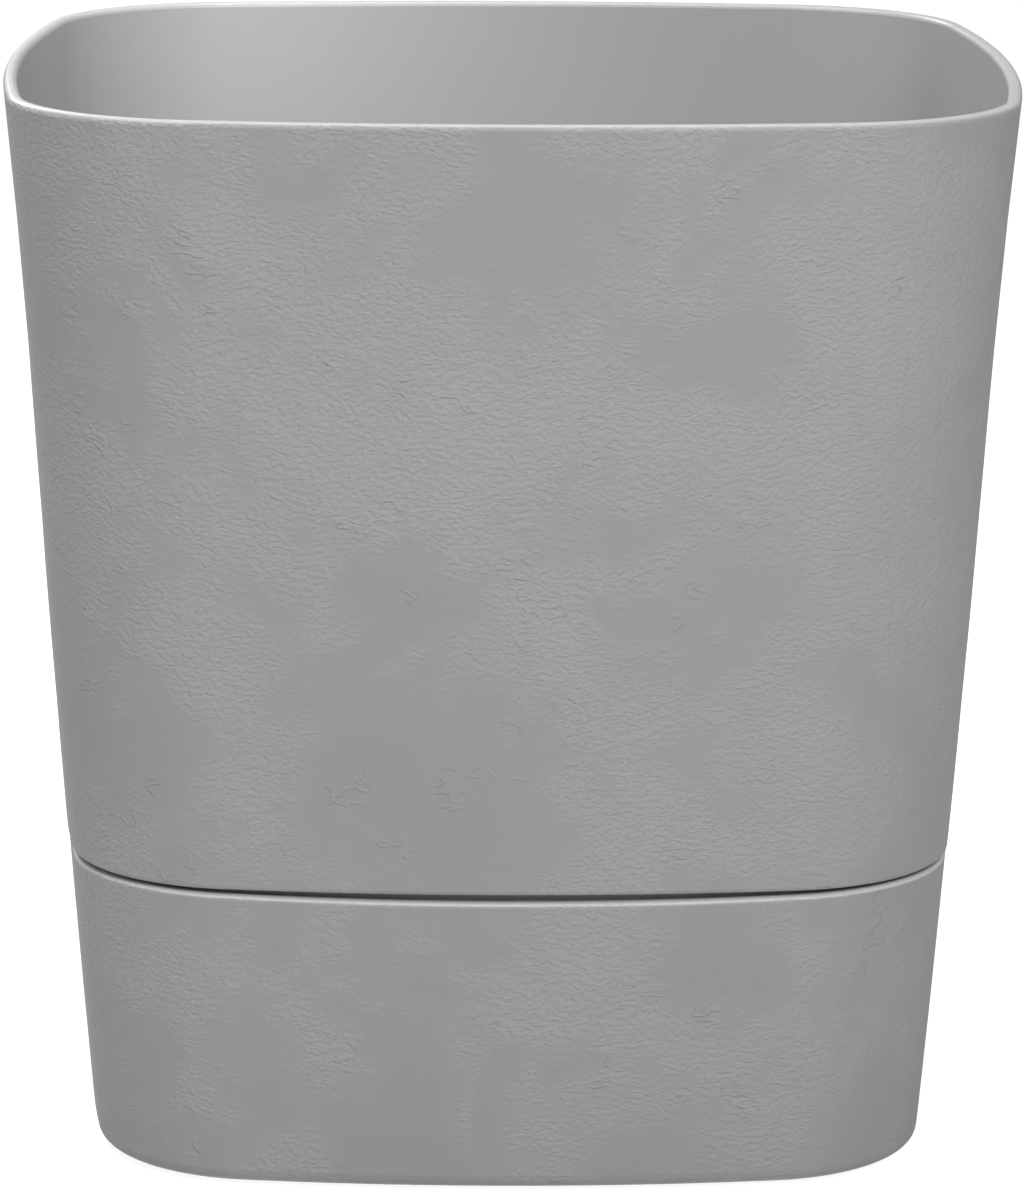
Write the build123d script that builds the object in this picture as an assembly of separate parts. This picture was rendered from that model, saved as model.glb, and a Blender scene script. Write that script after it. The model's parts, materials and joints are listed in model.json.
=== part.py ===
from build123d import *
import math
import os

# Overall shell (mm). +Z up, origin at the centre of the footprint on the floor.
WIDTH = 382.0
HEIGHT = 400.0
BASE_TAPER = 59.5
BARREL = 2.2
RIM_FLARE = 3.4
RIM_FLARE_HEIGHT = 138.0
RIM_SIDE_RADIUS = 860.0
RIM_CORNER_RADIUS = 76.3

# Planter body.
WALL = 3.5
LIP_WIDTH = 5.2
LIP_ROUND = 2.0
SHOULDER_HEIGHT = 116.5
SHOULDER_THICKNESS = 3.5
SHOULDER_ROUND = 1.7
NECK_DEPTH = 28.5
NECK_CLEARANCE = 1.6
NECK_DRAFT = 1.6
DECK_THICKNESS = 4.0
DECK_INNER_ROUND = 3.0
DRAIN_HOLE_RADIUS = 3.0
DECK_RIB_THICKNESS = 3.0
DECK_RIB_HEIGHT = 8.0
TUBE_SOCKET_CLEARANCE = 0.05

# Reservoir.
TANK_WALL = 4.0
TANK_FLOOR = 5.0
TANK_INSET = 0.45
TANK_INNER_ROUND = 5.0
BASE_ROUND = 6.0
SEAM_GAP_CORNER = 1.6
SEAM_GAP_MIDDLE = 3.0
TANK_RIM_ROUND = 2.0
SUPPORT_RIB_THICKNESS = 4.0
SUPPORT_RIB_LENGTH = 16.0
SUPPORT_RIB_SPACING = 126.0
PILLAR_RADIUS = 22.0
PILLAR_WALL = 4.0
PILLAR_SLOT_WIDTH = 10.0
PILLAR_SLOT_HEIGHT = 30.0

# Foot pads.
PAD_RADIUS = 14.0
PAD_STANDOFF = 1.5
PAD_RECESS = 2.0
PAD_CLEARANCE = 0.05
PAD_ROUND = 0.8
PAD_EDGE_GAP = 14.0

# Wick cups and their felt discs.
CUP_TOP_RADIUS = 32.0
CUP_BOTTOM_RADIUS = 24.0
CUP_WALL = 2.0
CUP_FLANGE_WIDTH = 5.0
CUP_FLANGE_THICKNESS = 2.5
CUP_FLOOR_GAP = 6.0
CUP_HOLE_CLEARANCE = 0.4
CUP_SLOT_COUNT = 12
CUP_SLOT_WIDTH = 3.0
CUP_SLOT_HEIGHT = 42.0
CUP_DRAIN_RADIUS = 2.5
FELT_THICKNESS = 3.0
FELT_CLEARANCE = 0.6

# Filler tube, its lid and its hinge pin.
FILL_RADIUS = 19.0
FILL_WALL = 2.0
FILL_FLANGE_WIDTH = 6.0
FILL_FLANGE_THICKNESS = 3.0
FILL_SPIGOT = 8.0
FLANGE_WALL_GAP = 0.5
HOPPER_RADIUS = 28.0
HOPPER_CONE = 18.0
HOPPER_COLLAR = 10.0
HOPPER_BELOW_RIM = 24.0
LID_THICKNESS = 3.0
LID_OVERHANG = 1.0
LID_PLUG_DEPTH = 4.0
LID_PLUG_WALL = 2.0
LID_PLUG_CLEARANCE = 0.5
LID_TAB_LENGTH = 9.0
LID_TAB_WIDTH = 18.0
HINGE_OFFSET = 7.0
HINGE_PIN_RADIUS = 1.5
HINGE_PIN_CLEARANCE = 0.05
HINGE_EYE_RADIUS = 3.6
HINGE_KNUCKLE = 12.0
HINGE_SIDE_GAP = 0.4
HINGE_LUG = 4.0
HINGE_PIN_HEAD = 1.5
HINGE_PIN_HEAD_RADIUS = 2.4

# Water-level gauge.
GAUGE_RADIUS = 11.0
GAUGE_WALL = 2.0
GAUGE_FLANGE_WIDTH = 6.0
GAUGE_FLANGE_THICKNESS = 3.0
GAUGE_SPIGOT = 4.0
GAUGE_BUSH = 6.0
GAUGE_STOP = 3.0
GAUGE_STOP_RADIUS = 4.0
ROD_RADIUS = 2.5
ROD_CLEARANCE = 0.08
FLOAT_RADIUS = 18.0
FLOAT_HEIGHT = 22.0
FLOAT_ROUND = 2.0
FLOAT_FLOOR_GAP = 1.5
FLOAT_WALL_GAP = 3.5
FLOAT_TRAVEL = 50.0
MARKER_RADIUS = 6.5
MARKER_HEIGHT = 9.0
MARKER_GRIP = 4.0
SIGHT_WALL = 2.0
SIGHT_CLEARANCE = 0.05
SIGHT_SLEEVE = 12.0
SIGHT_BELOW_RIM = 12.5
SIGHT_HEADROOM = 1.5

# Drain plug and overflow spout, both in the back wall of the reservoir.
PORT_FACE_SINK = 3.0
PORT_BOSS_DEPTH = 9.0
PORT_BOSS_WALL = 5.0
DRAIN_RADIUS = 8.0
DRAIN_CLEARANCE = 0.05
DRAIN_AXIS_ABOVE_FLOOR = 14.0
DRAIN_HEAD_RADIUS = 13.0
DRAIN_HEAD_THICKNESS = 3.5
DRAIN_HEAD_ROUND = 0.8
DRAIN_SHANK = 14.0
DRAIN_GRIP_WIDTH = 4.0
DRAIN_GRIP_HEIGHT = 8.0
DRAIN_RECESS_MARGIN = 2.5
SEAL_THICKNESS = 2.0
SEAL_CLEARANCE = 0.05
SPOUT_BORE_RADIUS = 5.0
SPOUT_WALL = 2.0
SPOUT_CLEARANCE = 0.05
SPOUT_BELOW_DECK = 14.0
SPOUT_FLANGE_WIDTH = 3.5
SPOUT_FLANGE_THICKNESS = 2.0
SPOUT_INNER_LENGTH = 4.0
SPOUT_OUTER_LENGTH = 3.0

# Derived heights.
TANK_BOTTOM = PAD_STANDOFF
TANK_FLOOR_TOP = TANK_BOTTOM + TANK_FLOOR
DECK_BOTTOM = SHOULDER_HEIGHT - NECK_DEPTH
DECK_TOP = DECK_BOTTOM + DECK_THICKNESS
TANK_TOP = SHOULDER_HEIGHT - SEAM_GAP_CORNER
BASE = (Align.CENTER, Align.CENTER, Align.MIN)
HUNG_BACK = (Align.CENTER, Align.MAX, Align.MIN)
LEFT_FLAT = (Align.MAX, Align.CENTER, Align.MIN)
RIGHT_FLAT = (Align.MIN, Align.CENTER, Align.MIN)
LEFT_HUNG = (Align.MAX, Align.CENTER, Align.MAX)
HUNG = (Align.CENTER, Align.CENTER, Align.MAX)


def flare_share(z):
    """How far the rim's flare has opened at a height, from 0 where it begins to 1 at the rim."""
    return max(0.0, (z - (HEIGHT - RIM_FLARE_HEIGHT)) / RIM_FLARE_HEIGHT) ** 2


def half_width(z):
    """Half width of the outer skin at a height: tapered, slightly barrelled, flared at the rim."""
    u = z / HEIGHT
    bottom = (WIDTH - BASE_TAPER) / 2
    top = WIDTH / 2 - RIM_FLARE
    return bottom + (top - bottom) * u + BARREL * 4 * u * (1 - u) + RIM_FLARE * flare_share(z)


def room_half_width(z):
    """Half width of the soil room; the wall thickens smoothly into the lip."""
    return half_width(z) - WALL - (LIP_WIDTH - WALL) * flare_share(z)


def tank_half_width(z):
    """Half width of the reservoir's outer skin; its rim sits just inside the planter above."""
    return half_width(z) - TANK_INSET * z / SHOULDER_HEIGHT


def outline_radii(half):
    """Side and corner radii of the outline; the rim's radii shrink in step with its half width."""
    scale = half / (WIDTH / 2)
    return RIM_SIDE_RADIUS * scale, RIM_CORNER_RADIUS * scale


def corner_centre(half):
    """Offset from the axes of a corner arc's centre, so that it is tangent to both side arcs."""
    side, corner = outline_radii(half)
    b = 2 * (side - half)
    c = (side - half) ** 2 - (side - corner) ** 2
    return (-b + math.sqrt(b * b - 8 * c)) / 4


def corner_reach(half):
    """Distance from the axis to the outline along a diagonal."""
    return corner_centre(half) * math.sqrt(2) + outline_radii(half)[1]


def section(half, z):
    """Horizontal rounded-square face with gently bowed sides."""
    side, corner = outline_radii(half)
    centre = corner_centre(half)
    spread = math.degrees(math.atan2(centre, centre + side - half))
    arcs = []
    for turn in range(4):
        spin = Rot(0, 0, 90 * turn)
        arcs.append(spin * CenterArc((0, side - half), side, -90 - spread, 2 * spread))
        arcs.append(spin * CenterArc((centre, -centre), corner, -90 + spread, 90 - 2 * spread))
    return Pos(0, 0, z) * Face(Wire([arc.edge() for arc in arcs]))


def skin(profile, heights, inset=0.0):
    """Solid lofted through the outline at the given heights."""
    return loft([section(profile(z) - inset, z) for z in heights])


def spaced(low, high, steps):
    """Evenly spaced heights, both ends included."""
    return [low + (high - low) * i / steps for i in range(steps + 1)]


def edges_at(shape, z):
    """Edges lying wholly in one horizontal plane."""
    return shape.edges().filter_by_position(Axis.Z, z - 0.01, z + 0.01)


def edges_within(edges, half):
    """Edges that stay inside a square about the axis."""
    kept = []
    for edge in edges:
        box = edge.bounding_box()
        reach = max(box.max.X, box.max.Y, -box.min.X, -box.min.Y)
        if reach <= half + 0.1:
            kept.append(edge)
    return kept


def edges_above(shape, z):
    """Edges that lie wholly above a height."""
    return [edge for edge in shape.edges() if edge.bounding_box().min.Z > z]


def ring(outer, inner, height):
    """Upright tube standing on its own origin."""
    return Cylinder(outer, height, align=BASE) - Cylinder(inner, height, align=BASE)


NECK_TOP_HALF = tank_half_width(TANK_TOP) - TANK_WALL - NECK_CLEARANCE
NECK_BOTTOM_HALF = NECK_TOP_HALF - NECK_DRAFT
DECK_INNER_HALF = NECK_BOTTOM_HALF - WALL
FLOAT_BOTTOM = TANK_FLOOR_TOP + FLOAT_FLOOR_GAP
CUP_FLANGE_RADIUS = CUP_TOP_RADIUS + CUP_FLANGE_WIDTH
FILL_FLANGE_RADIUS = FILL_RADIUS + FILL_FLANGE_WIDTH
FLOAT_REACH = corner_reach(tank_half_width(FLOAT_BOTTOM) - TANK_WALL) - FLOAT_RADIUS - FLOAT_WALL_GAP
FLANGE_REACH = corner_reach(DECK_INNER_HALF) - DECK_INNER_ROUND - FILL_FLANGE_RADIUS - FLANGE_WALL_GAP
TUBE_REACH = min(FLOAT_REACH, FLANGE_REACH)
TUBE_XY = TUBE_REACH / math.sqrt(2)
CUP_REACH = TUBE_REACH - FILL_FLANGE_RADIUS - CUP_FLANGE_RADIUS - CUP_FLANGE_WIDTH
CUP_XY = CUP_REACH / math.sqrt(2)
CUP_BOTTOM = TANK_FLOOR_TOP + CUP_FLOOR_GAP
CORNERS = {
    "front_left": (-1, -1),
    "front_right": (1, -1),
    "back_left": (-1, 1),
    "back_right": (1, 1),
}
FILL_PLACE = Pos(TUBE_XY, -TUBE_XY, 0) * Rot(0, 0, -45)
GAUGE_PLACE = Pos(-TUBE_XY, -TUBE_XY, 0)
DRAIN_Z = TANK_FLOOR_TOP + DRAIN_AXIS_ABOVE_FLOOR
SPOUT_Z = DECK_BOTTOM - SPOUT_BELOW_DECK
SPOUT_RADIUS = SPOUT_BORE_RADIUS + SPOUT_WALL


def port_face(z):
    """Y position of the flat seat sunk into the back wall at a height."""
    return tank_half_width(z) - PORT_FACE_SINK


def along_back(y, z):
    """Frame at the back wall whose own +Z points outward along +Y."""
    return Pos(0, y, z) * Rot(-90, 0, 0)


def make_planter_body():
    """Outer shell with thickened lip, shoulder, neck and the perforated deck that carries the soil."""
    shell = skin(half_width, spaced(SHOULDER_HEIGHT, HEIGHT, 6))
    shell = fillet(edges_at(shell, SHOULDER_HEIGHT), SHOULDER_ROUND)
    shell = fillet(edges_at(shell, HEIGHT), LIP_ROUND)
    shell += loft([section(NECK_BOTTOM_HALF, DECK_BOTTOM), section(NECK_TOP_HALF, SHOULDER_HEIGHT + 1)])

    shoulder_top = SHOULDER_HEIGHT + SHOULDER_THICKNESS
    well = loft([section(DECK_INNER_HALF, DECK_TOP), section(NECK_TOP_HALF - WALL, shoulder_top + 1)])
    well = fillet(edges_at(well, DECK_TOP), DECK_INNER_ROUND)
    room = skin(room_half_width, spaced(shoulder_top, HEIGHT + 1, 6))
    shell = shell - well - room
    mouth_edges = edges_within(edges_at(shell, HEIGHT), room_half_width(HEIGHT))
    shell = fillet(mouth_edges, LIP_ROUND)

    rib_reach = DECK_INNER_HALF - DECK_INNER_ROUND
    for turn in (0, 90):
        rib = Box(2 * rib_reach, DECK_RIB_THICKNESS, DECK_RIB_HEIGHT, align=BASE)
        shell += Pos(0, 0, DECK_TOP) * Rot(0, 0, turn) * rib

    cup_hole = Cylinder(cup_radius(DECK_TOP) + CUP_HOLE_CLEARANCE, 3 * DECK_THICKNESS)
    for x, y in CORNERS.values():
        shell -= Pos(x * CUP_XY, y * CUP_XY, DECK_TOP) * cup_hole
    for place, radius in ((FILL_PLACE, FILL_RADIUS), (GAUGE_PLACE, GAUGE_RADIUS)):
        socket = Cylinder(radius + TUBE_SOCKET_CLEARANCE, 3 * DECK_THICKNESS)
        shell -= place * Pos(0, 0, DECK_TOP) * socket
    drain = Cylinder(DRAIN_HOLE_RADIUS, 3 * DECK_THICKNESS)
    row = CUP_XY + CUP_FLANGE_RADIUS + 3 * DRAIN_HOLE_RADIUS
    step = 4 * DRAIN_HOLE_RADIUS
    for turn in range(4):
        spin = Rot(0, 0, 90 * turn)
        for i in (-2, -1, 1, 2):
            shell -= spin * Pos(step * i, row, DECK_TOP) * drain
        for i in (1, 2, 3):
            shell -= spin * Pos(step * 0.75, step * (i + 0.5), DECK_TOP) * drain
    return shell


def make_reservoir():
    """Lower tank: bowed walls, dipped rim, support ribs, centre pillar, ports and pad recesses."""
    block = skin(tank_half_width, spaced(TANK_BOTTOM, TANK_TOP, 3))
    block = fillet(edges_at(block, TANK_BOTTOM), BASE_ROUND)
    dip = SEAM_GAP_MIDDLE - SEAM_GAP_CORNER
    side = tank_half_width(TANK_TOP)
    diagonal = corner_reach(side)
    bowl_radius = (diagonal**2 - side**2) / (2 * dip)
    bowl_height = TANK_TOP + math.sqrt(bowl_radius**2 - diagonal**2)
    block -= Pos(0, 0, bowl_height) * Sphere(bowl_radius)
    block = fillet(edges_above(block, TANK_TOP - 1.5 * dip), TANK_RIM_ROUND)
    cavity = skin(tank_half_width, spaced(TANK_FLOOR_TOP, TANK_TOP + 2, 3), TANK_WALL)
    cavity = fillet(edges_at(cavity, TANK_FLOOR_TOP), TANK_INNER_ROUND)

    rib_height = DECK_BOTTOM - TANK_BOTTOM - 1
    reach = tank_half_width(DECK_BOTTOM) - 1
    ribs = Pos(0, 0, TANK_BOTTOM + 1) * ring(PILLAR_RADIUS, PILLAR_RADIUS - PILLAR_WALL, rib_height)
    for turn in range(4):
        for side in (-1, 1):
            rib = Box(SUPPORT_RIB_THICKNESS, SUPPORT_RIB_LENGTH, rib_height, align=HUNG_BACK)
            ribs += Rot(0, 0, 90 * turn) * Pos(side * SUPPORT_RIB_SPACING / 2, reach, TANK_BOTTOM + 1) * rib
    bosses = []
    for radius, z in ((DRAIN_RADIUS, DRAIN_Z), (SPOUT_RADIUS, SPOUT_Z)):
        boss = Cylinder(radius + PORT_BOSS_WALL, PORT_BOSS_DEPTH, align=HUNG)
        bosses.append(along_back(port_face(z), z) * boss)
    tank = block - cavity + ribs + bosses[0] + bosses[1]
    tank = tank & block

    for x, y in CORNERS.values():
        place = Pos(x * pad_xy(), y * pad_xy(), 0)
        tank -= place * Cylinder(PAD_RADIUS + PAD_CLEARANCE, TANK_BOTTOM + PAD_RECESS, align=BASE)
    slot = Box(3 * PILLAR_RADIUS, PILLAR_SLOT_WIDTH, PILLAR_SLOT_HEIGHT, align=BASE)
    for turn in (45, 135):
        tank -= Pos(0, 0, TANK_FLOOR_TOP) * Rot(0, 0, turn) * slot
    for radius, recess, z in (
        (DRAIN_RADIUS, DRAIN_HEAD_RADIUS + DRAIN_RECESS_MARGIN, DRAIN_Z),
        (SPOUT_RADIUS + SPOUT_CLEARANCE, SPOUT_RADIUS + SPOUT_FLANGE_WIDTH + 1, SPOUT_Z),
    ):
        seat = along_back(port_face(z), z)
        tank -= seat * Cylinder(recess, 4 * PORT_FACE_SINK, align=BASE)
        tank -= seat * Cylinder(radius, 6 * PORT_BOSS_DEPTH)
    return tank


def pad_xy():
    """Distance of the foot pads from each axis, set in from the corners' lower edge."""
    reach = corner_reach(tank_half_width(TANK_BOTTOM)) - BASE_ROUND - PAD_EDGE_GAP - PAD_RADIUS
    return reach / math.sqrt(2)


def make_foot_pad(x, y):
    """Rubber disc set in a recess under the reservoir."""
    pad = Cylinder(PAD_RADIUS, PAD_STANDOFF + PAD_RECESS, align=BASE)
    pad = fillet(edges_at(pad, 0), PAD_ROUND)
    return Pos(x * pad_xy(), y * pad_xy(), 0) * pad


def cup_radius(z):
    """Outer radius of a wick cup at a height."""
    share = (z - CUP_BOTTOM) / (DECK_TOP - CUP_BOTTOM)
    return CUP_BOTTOM_RADIUS + (CUP_TOP_RADIUS - CUP_BOTTOM_RADIUS) * share


def make_wick_cup(x, y):
    """Tapered slotted cup hung by its flange through the deck, down into the water."""
    depth = DECK_TOP - CUP_BOTTOM
    cup = Cone(CUP_BOTTOM_RADIUS, CUP_TOP_RADIUS, depth, align=BASE)
    cup += Pos(0, 0, depth) * Cylinder(CUP_FLANGE_RADIUS, CUP_FLANGE_THICKNESS, align=BASE)
    hollow = Cone(CUP_BOTTOM_RADIUS - CUP_WALL, CUP_TOP_RADIUS - CUP_WALL, depth - CUP_WALL, align=BASE)
    cup -= Pos(0, 0, CUP_WALL) * hollow
    mouth = Cylinder(CUP_TOP_RADIUS - CUP_WALL, CUP_FLANGE_THICKNESS + 2, align=BASE)
    cup -= Pos(0, 0, depth - 0.5) * mouth
    slot = Box(CUP_TOP_RADIUS, CUP_SLOT_WIDTH, CUP_SLOT_HEIGHT, align=RIGHT_FLAT)
    slot = fillet(slot.edges().filter_by(Axis.X), CUP_SLOT_WIDTH * 0.45)
    for i in range(CUP_SLOT_COUNT):
        turn = 360 * (i + 0.5) / CUP_SLOT_COUNT
        cup -= Rot(0, 0, turn) * Pos(CUP_BOTTOM_RADIUS / 2, 0, 3 * CUP_WALL) * slot
    for i in range(6):
        turn = 60 * i
        cup -= Rot(0, 0, turn) * Pos(CUP_BOTTOM_RADIUS / 2, 0, 0) * Cylinder(CUP_DRAIN_RADIUS, 3 * CUP_WALL)
    return Pos(x * CUP_XY, y * CUP_XY, CUP_BOTTOM) * cup


def make_wick_felt(x, y):
    """Felt disc lying on the floor of a wick cup."""
    radius = CUP_BOTTOM_RADIUS - CUP_WALL - FELT_CLEARANCE
    felt = Cylinder(radius, FELT_THICKNESS, align=BASE)
    return Pos(x * CUP_XY, y * CUP_XY, CUP_BOTTOM + CUP_WALL) * felt


FILL_TOP = HEIGHT - HOPPER_BELOW_RIM
HINGE_X = HOPPER_RADIUS + HINGE_OFFSET
HINGE_Z = FILL_TOP + LID_THICKNESS / 2


def lug_centre():
    """Distance of each hinge lug's middle from the hinge's middle plane."""
    return HINGE_KNUCKLE / 2 + HINGE_SIDE_GAP + HINGE_LUG / 2


def make_fill_tube():
    """Filler tube standing on the deck, with a funnel mouth and two hinge lugs."""
    collar_base = FILL_TOP - HOPPER_COLLAR
    cone_base = collar_base - HOPPER_CONE
    bottom = DECK_BOTTOM - FILL_SPIGOT
    tube = Pos(0, 0, bottom) * Cylinder(FILL_RADIUS, cone_base - bottom, align=BASE)
    tube += Pos(0, 0, DECK_TOP) * Cylinder(FILL_FLANGE_RADIUS, FILL_FLANGE_THICKNESS, align=BASE)
    tube += Pos(0, 0, cone_base) * Cone(FILL_RADIUS, HOPPER_RADIUS, HOPPER_CONE, align=BASE)
    tube += Pos(0, 0, collar_base) * Cylinder(HOPPER_RADIUS, HOPPER_COLLAR, align=BASE)
    for side in (-1, 1):
        arm = Box(HINGE_OFFSET + HINGE_EYE_RADIUS + 3, HINGE_LUG, HOPPER_COLLAR, align=LEFT_HUNG)
        place = Pos(HINGE_X + HINGE_EYE_RADIUS, side * lug_centre(), FILL_TOP - 0.5)
        tube += place * arm
        eye = Rot(90, 0, 0) * Cylinder(HINGE_EYE_RADIUS, HINGE_LUG)
        tube += Pos(HINGE_X, side * lug_centre(), HINGE_Z) * eye
        web = Box(2 * HINGE_EYE_RADIUS, HINGE_LUG, LID_THICKNESS, align=HUNG)
        tube += Pos(HINGE_X, side * lug_centre(), HINGE_Z) * web
    pin_hole = Cylinder(HINGE_PIN_RADIUS + HINGE_PIN_CLEARANCE, WIDTH / 4)
    tube -= Pos(HINGE_X, 0, HINGE_Z) * Rot(90, 0, 0) * pin_hole
    bore = FILL_RADIUS - FILL_WALL
    mouth = HOPPER_RADIUS - FILL_WALL
    tube -= Pos(0, 0, bottom - 1) * Cylinder(bore, cone_base - bottom + 2, align=BASE)
    tube -= Pos(0, 0, cone_base) * Cone(bore, mouth, HOPPER_CONE, align=BASE)
    tube -= Pos(0, 0, collar_base) * Cylinder(mouth, HOPPER_COLLAR + 1, align=BASE)
    return FILL_PLACE * tube


def make_fill_cap():
    """Flip lid of the filler: disc, locating ring, finger tab and hinge knuckle."""
    radius = HOPPER_RADIUS + LID_OVERHANG
    lid = Cylinder(radius, LID_THICKNESS, align=BASE)
    tab = Box(LID_TAB_LENGTH + 4, LID_TAB_WIDTH, LID_THICKNESS, align=LEFT_FLAT)
    tab = fillet(tab.edges().filter_by(Axis.Z), 3.0)
    lid += Pos(4 - radius, 0, 0) * tab
    lid = fillet(edges_at(lid, LID_THICKNESS), 0.8)
    plug_radius = HOPPER_RADIUS - FILL_WALL - LID_PLUG_CLEARANCE
    plug = ring(plug_radius, plug_radius - LID_PLUG_WALL, LID_PLUG_DEPTH + 0.5)
    lid += Pos(0, 0, -LID_PLUG_DEPTH) * plug
    arm_reach = HINGE_X - radius + 4
    arm = Box(arm_reach, HINGE_KNUCKLE, LID_THICKNESS, align=LEFT_FLAT)
    lid += Pos(HINGE_X, 0, 0) * arm
    lid += Pos(HINGE_X, 0, LID_THICKNESS / 2) * Rot(90, 0, 0) * Cylinder(HINGE_EYE_RADIUS, HINGE_KNUCKLE)
    bore = Rot(90, 0, 0) * Cylinder(HINGE_PIN_RADIUS + HINGE_PIN_CLEARANCE, 2 * HINGE_KNUCKLE)
    lid -= Pos(HINGE_X, 0, LID_THICKNESS / 2) * bore
    return FILL_PLACE * Pos(0, 0, FILL_TOP) * lid


def make_fill_cap_pin():
    """Headed hinge pin through both lugs and the lid's knuckle."""
    length = HINGE_KNUCKLE + 2 * (HINGE_SIDE_GAP + HINGE_LUG)
    pin = Cylinder(HINGE_PIN_RADIUS, length)
    head = Cylinder(HINGE_PIN_HEAD_RADIUS, HINGE_PIN_HEAD, align=BASE)
    pin += Pos(0, 0, length / 2) * head
    pin += Pos(0, 0, -length / 2 - HINGE_PIN_HEAD) * head
    return FILL_PLACE * Pos(HINGE_X, 0, HINGE_Z) * Rot(90, 0, 0) * pin


SIGHT_TOP = HEIGHT - SIGHT_BELOW_RIM
MARKER_TOP = SIGHT_TOP - SIGHT_WALL - SIGHT_HEADROOM - FLOAT_TRAVEL
GAUGE_TOP = MARKER_TOP - MARKER_HEIGHT


def make_gauge_tube():
    """Guide tube of the level gauge: deck flange, rod bush at its foot, marker stop on top."""
    bottom = DECK_BOTTOM - GAUGE_SPIGOT
    flange_radius = GAUGE_RADIUS + GAUGE_FLANGE_WIDTH
    bore_length = GAUGE_TOP - GAUGE_STOP - bottom - GAUGE_BUSH
    tube = Pos(0, 0, bottom) * Cylinder(GAUGE_RADIUS, GAUGE_TOP - bottom, align=BASE)
    tube += Pos(0, 0, DECK_TOP) * Cylinder(flange_radius, GAUGE_FLANGE_THICKNESS, align=BASE)
    tube -= Pos(0, 0, bottom + GAUGE_BUSH) * Cylinder(GAUGE_RADIUS - GAUGE_WALL, bore_length, align=BASE)
    tube -= Pos(0, 0, bottom - 1) * Cylinder(ROD_RADIUS + ROD_CLEARANCE, GAUGE_BUSH + 2, align=BASE)
    tube -= Pos(0, 0, GAUGE_TOP - GAUGE_STOP - 1) * Cylinder(GAUGE_STOP_RADIUS, GAUGE_STOP + 2, align=BASE)
    return GAUGE_PLACE * tube


def make_sight_cap():
    """Clear closed cap pushed over the gauge tube; the marker rises inside it."""
    bore = GAUGE_RADIUS - GAUGE_WALL
    outer = GAUGE_RADIUS + SIGHT_CLEARANCE + SIGHT_WALL
    bottom = GAUGE_TOP - SIGHT_SLEEVE
    cap = Pos(0, 0, bottom) * Cylinder(outer, SIGHT_TOP - bottom, align=BASE)
    cap = fillet(edges_at(cap, SIGHT_TOP), 3.0)
    cap -= Pos(0, 0, bottom) * Cylinder(GAUGE_RADIUS + SIGHT_CLEARANCE, SIGHT_SLEEVE, align=BASE)
    cap -= Pos(0, 0, bottom) * Cylinder(bore, SIGHT_TOP - SIGHT_WALL - bottom, align=BASE)
    return GAUGE_PLACE * cap


def make_float():
    """Foam float with a bore that grips the rod."""
    body = Cylinder(FLOAT_RADIUS, FLOAT_HEIGHT, align=BASE)
    body = fillet(edges_at(body, 0) + edges_at(body, FLOAT_HEIGHT), FLOAT_ROUND)
    body -= Pos(0, 0, FLOAT_HEIGHT / 4) * Cylinder(ROD_RADIUS + SIGHT_CLEARANCE, FLOAT_HEIGHT, align=BASE)
    return GAUGE_PLACE * Pos(0, 0, FLOAT_BOTTOM) * body


def make_float_rod():
    """Straight rod from the float up to the marker."""
    bottom = FLOAT_BOTTOM + FLOAT_HEIGHT / 4
    top = MARKER_TOP - MARKER_HEIGHT + MARKER_GRIP
    return GAUGE_PLACE * Pos(0, 0, bottom) * Cylinder(ROD_RADIUS, top - bottom, align=BASE)


def make_level_marker():
    """Marker knob gripping the top of the rod."""
    knob = Cylinder(MARKER_RADIUS, MARKER_HEIGHT, align=BASE)
    knob = fillet(edges_at(knob, MARKER_HEIGHT), 2.0)
    knob -= Cylinder(ROD_RADIUS + SIGHT_CLEARANCE, MARKER_GRIP, align=BASE)
    return GAUGE_PLACE * Pos(0, 0, MARKER_TOP - MARKER_HEIGHT) * knob


def make_drain_plug():
    """Plug of the drain port: shank, round head and a grip bar."""
    seat = along_back(port_face(DRAIN_Z), DRAIN_Z)
    head = Cylinder(DRAIN_HEAD_RADIUS, DRAIN_HEAD_THICKNESS, align=BASE)
    head = fillet(edges_at(head, DRAIN_HEAD_THICKNESS), DRAIN_HEAD_ROUND)
    grip = Box(1.5 * DRAIN_HEAD_RADIUS, DRAIN_GRIP_WIDTH, DRAIN_GRIP_HEIGHT, align=BASE)
    grip = fillet(grip.edges().filter_by(Axis.Z), DRAIN_GRIP_WIDTH * 0.4)
    plug = Pos(0, 0, SEAL_THICKNESS) * (head + grip)
    shank = Cylinder(DRAIN_RADIUS - DRAIN_CLEARANCE, DRAIN_SHANK + SEAL_THICKNESS, align=BASE)
    plug += Pos(0, 0, -DRAIN_SHANK) * shank
    plug -= Pos(0, 0, -DRAIN_SHANK) * Cylinder(DRAIN_RADIUS - 2.5, DRAIN_SHANK - 2, align=BASE)
    return seat * plug


def make_drain_seal():
    """Flat rubber washer between the plug's head and the sunk seat."""
    seat = along_back(port_face(DRAIN_Z), DRAIN_Z)
    return seat * ring(DRAIN_HEAD_RADIUS - 1, DRAIN_RADIUS + SEAL_CLEARANCE, SEAL_THICKNESS)


def make_overflow_spout():
    """Flanged sleeve that lets surplus water out just under the deck."""
    seat = along_back(port_face(SPOUT_Z), SPOUT_Z)
    inner_end = -PORT_BOSS_DEPTH - SPOUT_INNER_LENGTH
    outer_end = SPOUT_FLANGE_THICKNESS + SPOUT_OUTER_LENGTH
    spout = Pos(0, 0, inner_end) * Cylinder(SPOUT_RADIUS, outer_end - inner_end, align=BASE)
    spout += Cylinder(SPOUT_RADIUS + SPOUT_FLANGE_WIDTH, SPOUT_FLANGE_THICKNESS, align=BASE)
    spout -= Pos(0, 0, inner_end - 1) * Cylinder(SPOUT_BORE_RADIUS, outer_end - inner_end + 2, align=BASE)
    return seat * spout


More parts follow.
